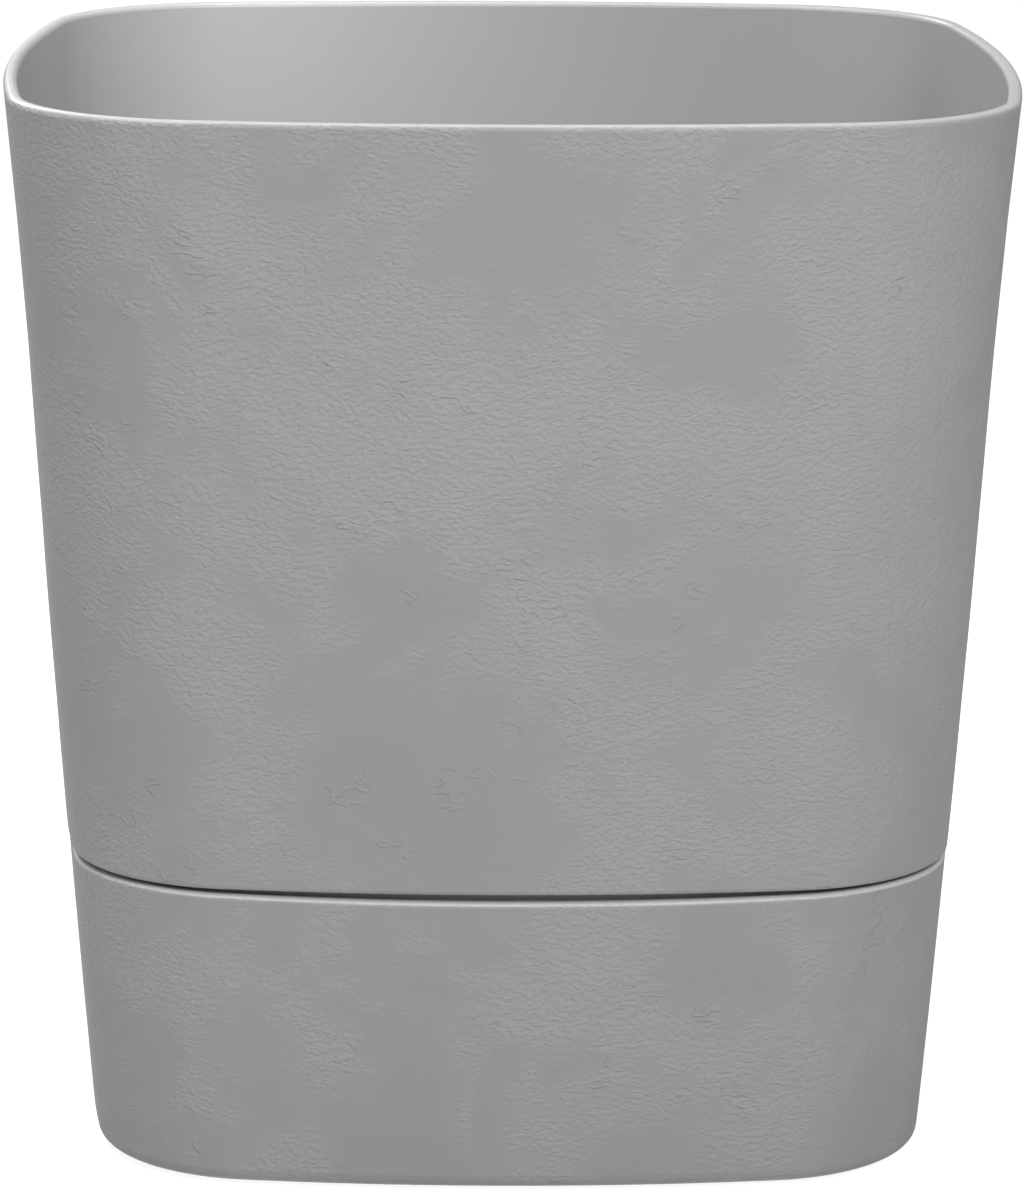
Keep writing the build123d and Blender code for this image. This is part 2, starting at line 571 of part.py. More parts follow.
def main():
    """Build every piece and write one STEP file each."""
    pieces = {
        "planter_body": make_planter_body(),
        "reservoir": make_reservoir(),
        "fill_tube": make_fill_tube(),
        "fill_cap": make_fill_cap(),
        "fill_cap_pin": make_fill_cap_pin(),
        "gauge_tube": make_gauge_tube(),
        "sight_cap": make_sight_cap(),
        "float": make_float(),
        "float_rod": make_float_rod(),
        "level_marker": make_level_marker(),
        "drain_plug": make_drain_plug(),
        "drain_seal": make_drain_seal(),
        "overflow_spout": make_overflow_spout(),
    }
    for name, (x, y) in CORNERS.items():
        pieces["wick_cup_" + name] = make_wick_cup(x, y)
        pieces["wick_felt_" + name] = make_wick_felt(x, y)
        pieces["foot_pad_" + name] = make_foot_pad(x, y)
    os.makedirs("parts", exist_ok=True)
    for name, piece in pieces.items():
        solid = piece.solid()
        solid.label = name
        export_step(solid, "parts/" + name + ".step")


main()
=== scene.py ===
"""Looks of the self watering planter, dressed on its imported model."""

import json
import logging
import math
from dataclasses import dataclass
from enum import Enum
from typing import Any

import bpy
from mathutils import Matrix, Vector


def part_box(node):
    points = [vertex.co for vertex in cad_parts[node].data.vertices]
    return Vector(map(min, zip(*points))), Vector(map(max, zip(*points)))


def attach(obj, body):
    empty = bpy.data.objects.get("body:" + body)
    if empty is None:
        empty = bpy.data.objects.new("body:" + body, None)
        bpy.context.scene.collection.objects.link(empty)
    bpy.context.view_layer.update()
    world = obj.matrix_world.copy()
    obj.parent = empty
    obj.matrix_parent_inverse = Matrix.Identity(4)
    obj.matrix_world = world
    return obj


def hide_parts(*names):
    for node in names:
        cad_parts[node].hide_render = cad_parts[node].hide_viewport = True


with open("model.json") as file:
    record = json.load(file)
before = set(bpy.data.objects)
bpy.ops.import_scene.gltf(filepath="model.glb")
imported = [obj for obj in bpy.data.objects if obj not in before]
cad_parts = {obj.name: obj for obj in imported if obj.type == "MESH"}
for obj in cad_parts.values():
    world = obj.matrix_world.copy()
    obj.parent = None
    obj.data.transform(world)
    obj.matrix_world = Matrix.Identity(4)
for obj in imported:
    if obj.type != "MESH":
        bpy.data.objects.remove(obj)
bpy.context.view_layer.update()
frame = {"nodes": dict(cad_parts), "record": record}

LOG = logging.getLogger("planter")
Triple = tuple[float, float, float]
Pair = tuple[float, float]
Socket = bpy.types.NodeSocket
Node = bpy.types.Node
CORNERS = ("front_left", "front_right", "back_left", "back_right")


class Finish(Enum):
    """Names of the finishes, each the record's own material slot."""

    SHELL = "cast_look_shell"
    BLACK = "black_plastic"
    PIN = "pin_steel"
    CLEAR = "clear_plastic"
    FOAM = "float_foam"
    ROD = "white_plastic"
    MARKER = "marker_plastic"
    FELT = "wick_felt"
    RUBBER = "soft_rubber"


def rgba(colour: Triple) -> tuple[float, float, float, float]:
    """Adds a full alpha to a colour."""
    return (*colour, 1.0)


def deselect() -> None:
    """Deselects every object, so that an operator acts only on what it makes."""
    bpy.ops.object.select_all(action="DESELECT")


class Graph:
    """A node tree with short calls for adding and joining nodes."""

    def __init__(self, tree: bpy.types.NodeTree) -> None:
        """Wraps a node tree.

        Args:
            tree: the tree that the nodes go into.
        """
        self.tree = tree

    def add(self, kind: str, inputs: dict[str | int, Any] | None = None, **settings: Any) -> Node:
        """Adds one node.

        Args:
            kind: the node's type, without the ShaderNode in front for shader nodes.
            inputs: a value or an output socket for each named or numbered input.
            settings: the node's own properties.

        Returns:
            The new node.
        """
        node = self.tree.nodes.new(kind if kind.startswith("Node") else "ShaderNode" + kind)
        for name, value in settings.items():
            setattr(node, name, value)
        for name, value in (inputs or {}).items():
            self.put(node.inputs[name], value)
        return node

    def put(self, socket: Socket, value: Any) -> None:
        """Sets a socket to a value, or joins an output socket to it."""
        if isinstance(value, Socket):
            self.tree.links.new(value, socket)
        else:
            socket.default_value = value

    def maths(self, operation: str, first: Any, second: Any = 0.0, third: Any = 0.0, clamp: bool = False) -> Socket:
        """Adds a Math node.

        Args:
            operation: the node's operation.
            first: first value or socket.
            second: second value or socket.
            third: third value or socket.
            clamp: True to keep the result from 0 to 1.

        Returns:
            The node's output.
        """
        node = self.add("Math", {0: first, 1: second, 2: third}, operation=operation, use_clamp=clamp)
        return node.outputs[0]

    def times_plus(self, value: Any, factor: Any, extra: Any) -> Socket:
        """Multiplies a value by a factor and adds something to it."""
        return self.maths("MULTIPLY_ADD", value, factor, extra)

    def vectors(self, operation: str, inputs: dict[str | int, Any], output: str | int = 0) -> Socket:
        """Adds a Vector Math node and gives one of its outputs."""
        return self.add("VectorMath", inputs, operation=operation).outputs[output]

    def steps(self, value: Any, reach: Pair, low: float = 0.0, high: float = 1.0) -> Socket:
        """Maps a value smoothly from one range to another.

        Args:
            value: the value or socket to map.
            reach: the values that give low and high.
            low: result at the reach's first end.
            high: result at its second end.

        Returns:
            The mapped output.
        """
        inputs = {"Value": value, "From Min": reach[0], "From Max": reach[1], "To Min": low, "To Max": high}
        return self.add("MapRange", inputs, interpolation_type="SMOOTHSTEP").outputs["Result"]

    def noise(self, vector: Any, scale: Any, detail: float = 2.0, rough: float = 0.5, bend: float = 0.0) -> Socket:
        """Adds a Noise Texture.

        Args:
            vector: coordinates.
            scale: features per metre.
            detail: octaves.
            rough: weight of the finer octaves.
            bend: distortion.

        Returns:
            The noise's value.
        """
        inputs = {"Vector": vector, "Scale": scale, "Detail": detail, "Roughness": rough, "Distortion": bend}
        return self.add("TexNoise", inputs).outputs["Fac"]

    def stretched(self, vector: Any, scale: Triple, turn: Triple = (0.0, 0.0, 0.0)) -> Socket:
        """Turns and stretches coordinates."""
        return self.add("Mapping", {"Vector": vector, "Scale": scale, "Rotation": turn}).outputs[0]

    def upright(self, vector: Any) -> Socket:
        """Takes the upright component of a vector."""
        return self.add("SeparateXYZ", {0: vector}).outputs[2]

    def normal(self) -> Socket:
        """Gives the surface's own normal."""
        return self.add("NewGeometry").outputs["Normal"]

    def tint(self, factor: Any, first: Any, second: Any, blend: str = "MIX") -> Socket:
        """Mixes two colours.

        Args:
            factor: share of the second colour.
            first: first colour or socket.
            second: second colour or socket.
            blend: how they mix.

        Returns:
            The mixed colour.
        """
        node = self.add("Mix", data_type="RGBA", blend_type=blend)
        self.put(node.inputs[0], factor)
        self.put(node.inputs[6], first)
        self.put(node.inputs[7], second)
        return node.outputs[2]

    def shaded(self, colour: Triple, shade: Socket) -> Socket:
        """Multiplies a plain colour by a shade that changes over the surface."""
        grey = self.add("CombineXYZ", {0: shade, 1: shade, 2: shade}).outputs[0]
        return self.tint(1.0, rgba(colour), grey, "MULTIPLY")

    def between(self, share: Any, first: Any, second: Any) -> Socket:
        """Mixes two values by a share of the second."""
        return self.add("Mix", {0: share, 2: first, 3: second}).outputs[0]

    def group(self, tree: bpy.types.NodeTree, inputs: dict[str, Any]) -> Node:
        """Places a node group.

        Args:
            tree: the group.
            inputs: a value or output socket for each of its inputs.

        Returns:
            The group node.
        """
        node = self.tree.nodes.new("ShaderNodeGroup")
        node.node_tree = tree
        for name, value in inputs.items():
            self.put(node.inputs[name], value)
        return node


class Effect:
    """A surface effect that several finishes share, built once as a node group."""

    @staticmethod
    def start(name: str, values: dict[str, float], outputs: dict[str, str]) -> tuple[Graph, Node, Node]:
        """Starts a group that takes coordinates and some values.

        Args:
            name: the group's name.
            values: first value of each value input, by name.
            outputs: socket kind, by name.

        Returns:
            The graph, its input node and its output node.
        """
        tree = bpy.data.node_groups.new(name, "ShaderNodeTree")
        tree.interface.new_socket("Vector", in_out="INPUT", socket_type="NodeSocketVector")
        for title, first in values.items():
            socket = tree.interface.new_socket(title, in_out="INPUT", socket_type="NodeSocketFloat")
            socket.default_value = first
        for title, kind in outputs.items():
            tree.interface.new_socket(title, in_out="OUTPUT", socket_type="NodeSocket" + kind)
        graph = Graph(tree)
        return graph, graph.add("NodeGroupInput"), graph.add("NodeGroupOutput")


@dataclass(frozen=True)
class TrowelRelief(Effect):
    """Trowelled relief: dense short wrinkles in broad patches, stray ridges and smooth ground.

    Scales are features per metre, shares are of a height of 1, and edges are where a mask starts and ends.
    """

    drift_scale: float = 24.0
    drift_reach: float = 0.012
    stroke_stretch: Triple = (1.0, 1.0, 1.7)
    stroke_turn: Triple = (0.16, 0.22, 0.0)
    breakup_scale: float = 55.0
    breakup_share: float = 0.35
    climb: float = 0.22
    patch_edge: Pair = (0.615, 0.775)
    wrinkle_edge: Pair = (0.32, 0.66)
    ridge_scale: float = 110.0
    ridge_edge: Pair = (0.86, 0.99)
    ridge_share: float = 0.9
    rare_scale: float = 48.0
    rare_edge: Pair = (0.64, 0.70)
    pore_scale: float = 1100.0
    pore_share: float = 0.08
    swell_scale: float = 70.0
    swell_share: float = 0.5

    def build(self) -> bpy.types.NodeTree:
        """Builds the group.

        Returns:
            The group.
        """
        outputs = {"Height": "Float", "Patches": "Float", "Clouds": "Float"}
        graph, source, sink = self.start("trowel_relief", {"Patch": 14.0, "Wrinkle": 400.0}, outputs)
        place = source.outputs["Vector"]
        flat = graph.stretched(self.drifted(graph, place), self.stroke_stretch, self.stroke_turn)
        clouds = graph.noise(place, source.outputs["Patch"], 3.0, 0.6, 0.5)
        breakup = graph.noise(place, self.breakup_scale, 3.0, 0.6, 0.6)
        cover = graph.times_plus(breakup, self.breakup_share, clouds)
        cover = graph.times_plus(graph.upright(place), self.climb, cover)
        patches = graph.steps(cover, self.patch_edge)
        wrinkles = graph.noise(flat, source.outputs["Wrinkle"], 1.5, 0.55, 0.25)
        height = graph.maths("MULTIPLY", graph.steps(wrinkles, self.wrinkle_edge), patches)
        height = graph.times_plus(self.stray_ridges(graph, place, flat), self.ridge_share, height)
        height = graph.times_plus(graph.noise(place, self.pore_scale), self.pore_share, height)
        height = graph.times_plus(graph.noise(place, self.swell_scale), self.swell_share, height)
        graph.put(sink.inputs["Height"], height)
        graph.put(sink.inputs["Patches"], patches)
        graph.put(sink.inputs["Clouds"], clouds)
        return graph.tree

    def drifted(self, graph: Graph, place: Socket) -> Socket:
        """Lets the coordinates wander a little, so that strokes don't run straight.

        Args:
            graph: the group's graph.
            place: coordinates.

        Returns:
            The bent coordinates.
        """
        wander = graph.add("TexNoise", {"Vector": place, "Scale": self.drift_scale, "Detail": 2.0}).outputs["Color"]
        wander = graph.vectors("SUBTRACT", {0: wander, 1: (0.5, 0.5, 0.5)})
        wander = graph.vectors("SCALE", {0: wander, "Scale": self.drift_reach})
        return graph.vectors("ADD", {0: place, 1: wander})

    def stray_ridges(self, graph: Graph, place: Socket, flat: Socket) -> Socket:
        """Makes thin ridges where a noise crosses its middle, in rare spots.

        Args:
            graph: the group's graph.
            place: coordinates.
            flat: coordinates along the strokes.

        Returns:
            The ridges' height.
        """
        crossing = graph.times_plus(graph.noise(flat, self.ridge_scale, 1.0, 0.5, 0.3), 2.0, -1.0)
        ridge = graph.maths("SUBTRACT", 1.0, graph.maths("ABSOLUTE", crossing))
        rare = graph.steps(graph.noise(place, self.rare_scale, 1.0), self.rare_edge)
        return graph.maths("MULTIPLY", graph.steps(ridge, self.ridge_edge), rare)


@dataclass(frozen=True)
class MouldedGrain(Effect):
    """Fine moulded grain with faint upright flow marks."""

    flow_scale: float = 45.0
    flow_stretch: Triple = (1.0, 1.0, 0.25)
    flow_share: float = 0.6

    def build(self) -> bpy.types.NodeTree:
        """Builds the group.

        Returns:
            The group.
        """
        graph, source, sink = self.start("moulded_grain", {"Scale": 1500.0}, {"Height": "Float", "Flow": "Float"})
        place = source.outputs["Vector"]
        fine = graph.noise(place, source.outputs["Scale"], 2.0, 0.6)
        flow = graph.noise(graph.stretched(place, self.flow_stretch), self.flow_scale, 3.0, 0.5, 0.5)
        graph.put(sink.inputs["Height"], graph.times_plus(flow, self.flow_share, fine))
        graph.put(sink.inputs["Flow"], flow)
        return graph.tree


@dataclass(frozen=True)
class SettledDust(Effect):
    """Light dust that lies on faces that look up."""

    drift_scale: float = 70.0
    drift_edge: Pair = (0.35, 0.75)
    tilt_edge: Pair = (0.3, 1.0)

    def build(self) -> bpy.types.NodeTree:
        """Builds the group.

        Returns:
            The group.
        """
        graph, source, sink = self.start("settled_dust", {"Amount": 0.3}, {"Mask": "Float"})
        up = graph.steps(graph.upright(graph.normal()), self.tilt_edge)
        drift = graph.steps(graph.noise(source.outputs["Vector"], self.drift_scale, 5.0, 0.65), self.drift_edge)
        mask = graph.maths("MULTIPLY", up, drift)
        graph.put(sink.inputs["Mask"], graph.maths("MULTIPLY", mask, source.outputs["Amount"], clamp=True))
        return graph.tree


@dataclass(frozen=True)
class RubbedEdges(Effect):
    """Rubbed edges, found where a rounded normal leaves the true one."""

    edge: Pair = (0.995, 0.86)
    broken_scale: float = 240.0
    broken_edge: Pair = (0.35, 0.65)

    def build(self) -> bpy.types.NodeTree:
        """Builds the group.

        Returns:
            The group.
        """
        values = {"Radius": 0.0006, "Amount": 0.5}
        graph, source, sink = self.start("rubbed_edges", values, {"Mask": "Float", "Normal": "Vector"})
        soft = graph.add("Bevel", {"Radius": source.outputs["Radius"]}, samples=4).outputs[0]
        edge = graph.steps(graph.vectors("DOT_PRODUCT", {0: soft, 1: graph.normal()}, "Value"), self.edge)
        broken = graph.steps(graph.noise(source.outputs["Vector"], self.broken_scale, 3.0, 0.6), self.broken_edge)
        mask = graph.maths("MULTIPLY", edge, broken)
        graph.put(sink.inputs["Mask"], graph.maths("MULTIPLY", mask, source.outputs["Amount"], clamp=True))
        graph.put(sink.inputs["Normal"], soft)
        return graph.tree


class Effects:
    """Every shared surface effect, each built once."""

    def __init__(self) -> None:
        """Builds the groups."""
        self.relief = TrowelRelief().build()
        self.grain = MouldedGrain().build()
        self.dust = SettledDust().build()
        self.wear = RubbedEdges().build()


class Surface:
    """A new material with its own shader node and object coordinates at hand."""

    def __init__(self, finish: Finish, roughness: float, specular: float = 0.5) -> None:
        """Makes the material.

        Args:
            finish: which finish it is.
            roughness: the shader's plain roughness.
            specular: the shader's specular level.
        """
        self.material = bpy.data.materials.new(finish.value)
        self.material.use_nodes = True
        self.graph = Graph(self.material.node_tree)
        self.graph.tree.nodes.clear()
        inputs = {"Roughness": roughness, "Specular IOR Level": specular}
        self.shader = self.graph.add("BsdfPrincipled", inputs)
        output = self.graph.add("OutputMaterial", {"Surface": self.shader.outputs[0]})
        output.is_active_output = True
        self.place = self.graph.add("TexCoord").outputs["Object"]

    def set(self, name: str, value: Any) -> None:
        """Sets or joins one input of the shader."""
        self.graph.put(self.shader.inputs[name], value)

    def bump(self, height: Any, depth: float, normal: Any = None) -> None:
        """Adds a bump that feeds the shader's normal.

        Args:
            height: height, about 0 to 1.
            depth: depth of a height of 1, in metres.
            normal: a normal to start from, if any.
        """
        inputs = {"Height": height, "Distance": depth, "Strength": 1.0}
        if normal is not None:
            inputs["Normal"] = normal
        self.set("Normal", self.graph.add("Bump", inputs).outputs[0])

    def grain(self, effects: Effects, scale: float) -> Node:
        """Places the moulded grain at a scale."""
        return self.graph.group(effects.grain, {"Vector": self.place, "Scale": scale})

    def dust(self, effects: Effects, amount: float) -> Socket:
        """Places the dust and gives its mask."""
        return self.graph.group(effects.dust, {"Vector": self.place, "Amount": amount}).outputs["Mask"]

    def wear(self, effects: Effects, radius: float, amount: float) -> Node:
        """Places the rubbed edges at a radius in metres."""
        return self.graph.group(effects.wear, {"Vector": self.place, "Radius": radius, "Amount": amount})


@dataclass(frozen=True)
class CastShell:
    """Concrete-look shell: matt trowelled relief outside, smoother plastic inside, and a pale painted highlight on
    the reservoir's rim.
    """

    outside: Triple = (0.256, 0.256, 0.256)
    inside: Triple = (0.30, 0.30, 0.30)
    # Pale colour of the painted highlight on the reservoir's rounded rim.
    edge: Triple = (0.52, 0.52, 0.52)
    dust: Triple = (0.41, 0.41, 0.40)
    dust_amount: float = 0.10
    outside_rough: float = 0.62
    inside_rough: float = 0.30
    rough_change: float = 0.06
    specular: float = 0.28
    patch_scale: float = 14.0
    wrinkle_scale: float = 400.0
    grain_scale: float = 1500.0
    fleck_scale: float = 700.0
    fleck_share: float = 0.05
    patch_share: float = 0.06
    cloud_edge: Pair = (0.3, 0.75)
    cloud_shade: Pair = (0.965, 1.035)
    relief_depth: float = 0.00026
    grain_depth: float = 0.00003
    # Normal tilt and height that bound the painted rim highlight.
    highlight_tilt: Pair = (0.2, 0.6)
    highlight_top: Pair = (0.16, 0.18)
    outer_turn: Pair = (0.55, 0.8)

    def build(self, effects: Effects) -> bpy.types.Material:
        """Builds the material.

        Args:
            effects: the shared surface effects.

        Returns:
            The material.
        """
        skin = Surface(Finish.SHELL, self.outside_rough, self.specular)
        graph = skin.graph
        sizes = {"Vector": skin.place, "Patch": self.patch_scale, "Wrinkle": self.wrinkle_scale}
        relief = graph.group(effects.relief, sizes).outputs
        grain = skin.grain(effects, self.grain_scale).outputs
        outer = self.outer_mask(graph, skin.place)
        cast = graph.shaded(self.outside, self.cast_shade(graph, skin.place, relief))
        colour = graph.tint(outer, rgba(self.inside), cast)
        colour = graph.tint(skin.dust(effects, self.dust_amount), colour, rgba(self.dust))
        # Paints a pale highlight on the reservoir's up-facing rim, where light from above catches it.
        skin.set("Base Color", graph.tint(self.rim_highlight_mask(graph, skin.place), colour, rgba(self.edge)))
        matt = graph.times_plus(relief["Patches"], self.rough_change, self.outside_rough)
        smooth = graph.times_plus(grain["Flow"], self.rough_change, self.inside_rough - self.rough_change / 2)
        skin.set("Roughness", graph.between(outer, smooth, matt))
        deep = graph.maths("MULTIPLY", relief["Height"], self.relief_depth / self.grain_depth)
        skin.bump(graph.between(outer, grain["Height"], deep), self.grain_depth)
        return skin.material

    def cast_shade(self, graph: Graph, place: Socket, relief: Any) -> Socket:
        """Mottles the outside: broad clouds, paler wrinkled patches and fine flecks.

        Args:
            graph: the material's graph.
            place: object coordinates.
            relief: the relief group's outputs.

        Returns:
            A shade round 1.
        """
        shade = graph.steps(relief["Clouds"], self.cloud_edge, *self.cloud_shade)
        shade = graph.times_plus(relief["Patches"], self.patch_share, shade)
        fleck = graph.maths("SUBTRACT", graph.noise(place, self.fleck_scale, 2.0, 0.7), 0.5)
        return graph.times_plus(fleck, self.fleck_share, shade)

    def rim_highlight_mask(self, graph: Graph, place: Socket) -> Socket:
        """Finds the reservoir's rounded upper edge, where a pale painted highlight stands in for the light that it
        catches from above.

        Args:
            graph: the material's graph.
            place: object coordinates.

        Returns:
            1 on the low edge where it looks up and out, 0 elsewhere.
        """
        up = graph.steps(graph.upright(graph.normal()), self.highlight_tilt)
        low = graph.steps(graph.upright(place), self.highlight_top, 1.0, 0.0)
        return graph.maths("MULTIPLY", up, low)

    def outer_mask(self, graph: Graph, place: Socket) -> Socket:
        """Finds the faces that look away from the axis, which are the trowelled ones.

        Args:
            graph: the material's graph.
            place: object coordinates.

        Returns:
            1 outside, 0 inside and on the rim's flat.
        """
        level = graph.vectors("MULTIPLY", {0: place, 1: (1.0, 1.0, 0.0)})
        away = graph.vectors("NORMALIZE", {0: level})
        return graph.steps(graph.vectors("DOT_PRODUCT", {0: away, 1: graph.normal()}, "Value"), self.outer_turn)


@dataclass(frozen=True)
class MouldedPlastic:
    """Injection-moulded plastic with fine grain, rubbed edges and a little dust."""

    finish: Finish = Finish.BLACK
    colour: Triple = (0.022, 0.022, 0.023)
    worn: Triple = (0.10, 0.10, 0.10)
    rough: float = 0.42
    grain_depth: float = 0.00004
    dust: float = 0.25
    dust_colour: Triple = (0.22, 0.21, 0.19)
    dust_rough: float = 0.4
    grain_scale: float = 1300.0
    wear_radius: float = 0.0005
    wear_amount: float = 0.5
    flow_shade: Pair = (0.88, 1.12)
    rough_change: Pair = (-0.05, 0.07)

    def build(self, effects: Effects) -> bpy.types.Material:
        """Builds the material.

        Args:
            effects: the shared surface effects.

        Returns:
            The material.
        """
        skin = Surface(self.finish, self.rough)
        graph = skin.graph
        grain = skin.grain(effects, self.grain_scale).outputs
        wear = skin.wear(effects, self.wear_radius, self.wear_amount).outputs
        dust = skin.dust(effects, self.dust)
        base = graph.shaded(self.colour, graph.steps(grain["Flow"], (0.3, 0.7), *self.flow_shade))
        base = graph.tint(wear["Mask"], base, rgba(self.worn))
        skin.set("Base Color", graph.tint(dust, base, rgba(self.dust_colour)))
        low, high = (self.rough + change for change in self.rough_change)
        rough = graph.steps(grain["Flow"], (0.2, 0.8), low, high)
        skin.set("Roughness", graph.times_plus(dust, self.dust_rough, rough))
        skin.bump(grain["Height"], self.grain_depth, wear["Normal"])
        return skin.material


@dataclass(frozen=True)
class DrawnSteel:
    """Drawn steel wire with fine lines round the pin."""

    bright: Triple = (0.56, 0.56, 0.55)
    dull: Triple = (0.46, 0.46, 0.45)
    line_scale: float = 2600.0
    line_stretch: Triple = (0.1, 0.1, 1.0)
    line_depth: float = 0.00001
    rough: Pair = (0.22, 0.38)

    def build(self, effects: Effects) -> bpy.types.Material:
        """Builds the material.

        Args:
            effects: the shared surface effects.

        Returns:
            The material.
        """
        skin = Surface(Finish.PIN, sum(self.rough) / 2)
        graph = skin.graph
        skin.set("Metallic", 1.0)
        lines = graph.noise(graph.stretched(skin.place, self.line_stretch), self.line_scale, 3.0, 0.6)
        wear = skin.wear(effects, 0.0003, 0.6)
        skin.set("Base Color", graph.tint(graph.steps(lines, (0.3, 0.7)), rgba(self.dull), rgba(self.bright)))
        skin.set("Roughness", graph.steps(lines, (0.2, 0.8), *self.rough))
        skin.bump(lines, self.line_depth, wear.outputs["Normal"])
        return skin.material


@dataclass(frozen=True)
class ClearCap:
    """Clear moulded plastic with faint flow marks."""

    clear: Triple = (0.93, 0.95, 0.95)
    clearer: Triple = (0.97, 0.98, 0.98)
    refraction: float = 1.49
    flow_scale: float = 500.0
    flow_depth: float = 0.0001
    rough: Pair = (0.03, 0.09)

    def build(self, effects: Effects) -> bpy.types.Material:
        """Builds the material.

        Args:
            effects: the shared surface effects.

        Returns:
            The material.
        """
        skin = Surface(Finish.CLEAR, sum(self.rough) / 2)
        skin.set("Transmission Weight", 1.0)
        skin.set("IOR", self.refraction)
        flow = skin.grain(effects, self.flow_scale).outputs["Flow"]
        skin.set("Base Color", skin.graph.tint(flow, rgba(self.clear), rgba(self.clearer)))
        skin.set("Roughness", skin.graph.steps(flow, (0.2, 0.8), *self.rough))
        skin.bump(flow, self.flow_depth)
        return skin.material


@dataclass(frozen=True)
class CellFoam:
    """Closed-cell foam: tight cells with soft walls."""

    wall: Triple = (0.72, 0.71, 0.66)
    cell: Triple = (0.50, 0.49, 0.45)
    cell_scale: float = 850.0
    cell_depth: float = 0.00025
    rough: Pair = (0.72, 0.9)
    specular: float = 0.3

    def build(self, effects: Effects) -> bpy.types.Material:
        """Builds the material.

        Args:
            effects: the shared surface effects.

        Returns:
            The material.
        """
        skin = Surface(Finish.FOAM, sum(self.rough) / 2, self.specular)
        graph = skin.graph
        inputs = {"Vector": skin.place, "Scale": self.cell_scale}
        cells = graph.add("TexVoronoi", inputs, feature="SMOOTH_F1").outputs["Distance"]
        wear = skin.wear(effects, 0.001, 0.4)
        skin.set("Base Color", graph.tint(graph.steps(cells, (0.1, 0.7)), rgba(self.wall), rgba(self.cell)))
        skin.set("Roughness", graph.steps(cells, (0.1, 0.8), *self.rough))
        skin.bump(cells, self.cell_depth, wear.outputs["Normal"])
        return skin.material


@dataclass(frozen=True)
class NeedledFelt:
    """Dark needled felt: crossed fibres and a soft sheen."""

    colour: Triple = (0.085, 0.083, 0.080)
    rough: float = 0.95
    specular: float = 0.15
    sheen: float = 0.35
    sheen_rough: float = 0.6
    fibre_scale: float = 1800.0
    clump_scale: float = 220.0
    clump_share: float = 0.6
    depth: float = 0.0005

    def build(self, effects: Effects) -> bpy.types.Material:
        """Builds the material.

        Args:
            effects: the shared surface effects, none of which felt needs.

        Returns:
            The material.
        """
        skin = Surface(Finish.FELT, self.rough, self.specular)
        graph = skin.graph
        skin.set("Sheen Weight", self.sheen)
        skin.set("Sheen Roughness", self.sheen_rough)
        one = self.fibres(graph, skin.place, (1.0, 0.12, 1.0), 0.6)
        two = self.fibres(graph, skin.place, (0.12, 1.0, 1.0), 0.5)
        fibre = graph.maths("MAXIMUM", one, two)
        clump = graph.noise(skin.place, self.clump_scale, 3.0, 0.6)
        strands = graph.steps(fibre, (0.4, 0.8), 0.6, 1.6)
        clumps = graph.steps(clump, (0.3, 0.7), 0.8, 1.2)
        skin.set("Base Color", graph.shaded(self.colour, graph.maths("MULTIPLY", strands, clumps)))
        skin.bump(graph.times_plus(clump, self.clump_share, fibre), self.depth)
        return skin.material

    def fibres(self, graph: Graph, place: Socket, stretch: Triple, turn: float) -> Socket:
        """Draws out a noise into fibres that lie one way.

        Args:
            graph: the material's graph.
            place: object coordinates.
            stretch: how the coordinates are drawn out.
            turn: turn about the upright axis, in radians.

        Returns:
            The fibres' height.
        """
        return graph.noise(graph.stretched(place, stretch, (0.0, 0.0, turn)), self.fibre_scale, 4.0, 0.7, 1.5)


class Wardrobe:
    """Every finish, built once and found by its slot name."""

    def __init__(self, effects: Effects) -> None:
        """Builds every finish.

        Args:
            effects: the shared surface effects.
        """
        rubber = MouldedPlastic(Finish.RUBBER, (0.018, 0.018, 0.018), (0.05, 0.05, 0.05), 0.72, 0.00008, 0.3)
        rod = MouldedPlastic(Finish.ROD, (0.70, 0.70, 0.67), (0.78, 0.78, 0.76), 0.28, 0.00001, 0.05)
        marker = MouldedPlastic(Finish.MARKER, (0.60, 0.028, 0.015), (0.65, 0.12, 0.09), 0.22, 0.00001, 0.02)
        makers = {
            Finish.SHELL: CastShell(),
            Finish.BLACK: MouldedPlastic(),
            Finish.PIN: DrawnSteel(),
            Finish.CLEAR: ClearCap(),
            Finish.FOAM: CellFoam(),
            Finish.ROD: rod,
            Finish.MARKER: marker,
            Finish.FELT: NeedledFelt(),
            Finish.RUBBER: rubber,
        }
        self.materials = {finish.value: maker.build(effects) for finish, maker in makers.items()}
        self.slots = {part["node"]: part["material_slot"] for part in frame["record"]["subparts"]}

    def dress(self, node: str) -> None:
        """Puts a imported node's own finish on it."""
        layers = frame["nodes"][node].data.materials
        layers.clear()
        layers.append(self.materials[self.slots[node]])


class SubAssembly:
    """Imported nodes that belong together."""

    nodes: tuple[str, ...] = ()

    def build(self, wardrobe: Wardrobe) -> None:
        """Dresses the nodes and reports each.

        Args:
            wardrobe: the finishes.
        """
        for node in self.nodes:
            wardrobe.dress(node)
            LOG.info("%s: %s wears %s", type(self).__name__, node, wardrobe.slots[node])


@dataclass(frozen=True)
class Pot(SubAssembly):
    """Soil pot with its neck and perforated deck."""

    nodes: tuple[str, ...] = ("planter_body",)


@dataclass(frozen=True)
class WaterTank(SubAssembly):
    """Reservoir on its four rubber pads."""

    nodes: tuple[str, ...] = ("reservoir", *("foot_pad_" + corner for corner in CORNERS))


@dataclass(frozen=True)
class Filler(SubAssembly):
    """Filler tube with its flip lid and hinge pin."""

    nodes: tuple[str, ...] = ("fill_tube", "fill_cap", "fill_cap_pin")


@dataclass(frozen=True)
class LevelGauge(SubAssembly):
    """Guide tube, clear cap, float, rod and marker."""

    nodes: tuple[str, ...] = ("gauge_tube", "sight_cap", "float", "float_rod", "level_marker")


@dataclass(frozen=True)
class Ports(SubAssembly):
    """Drain plug with its washer, and the overflow."""

    nodes: tuple[str, ...] = ("drain_plug", "drain_seal", "overflow_spout")


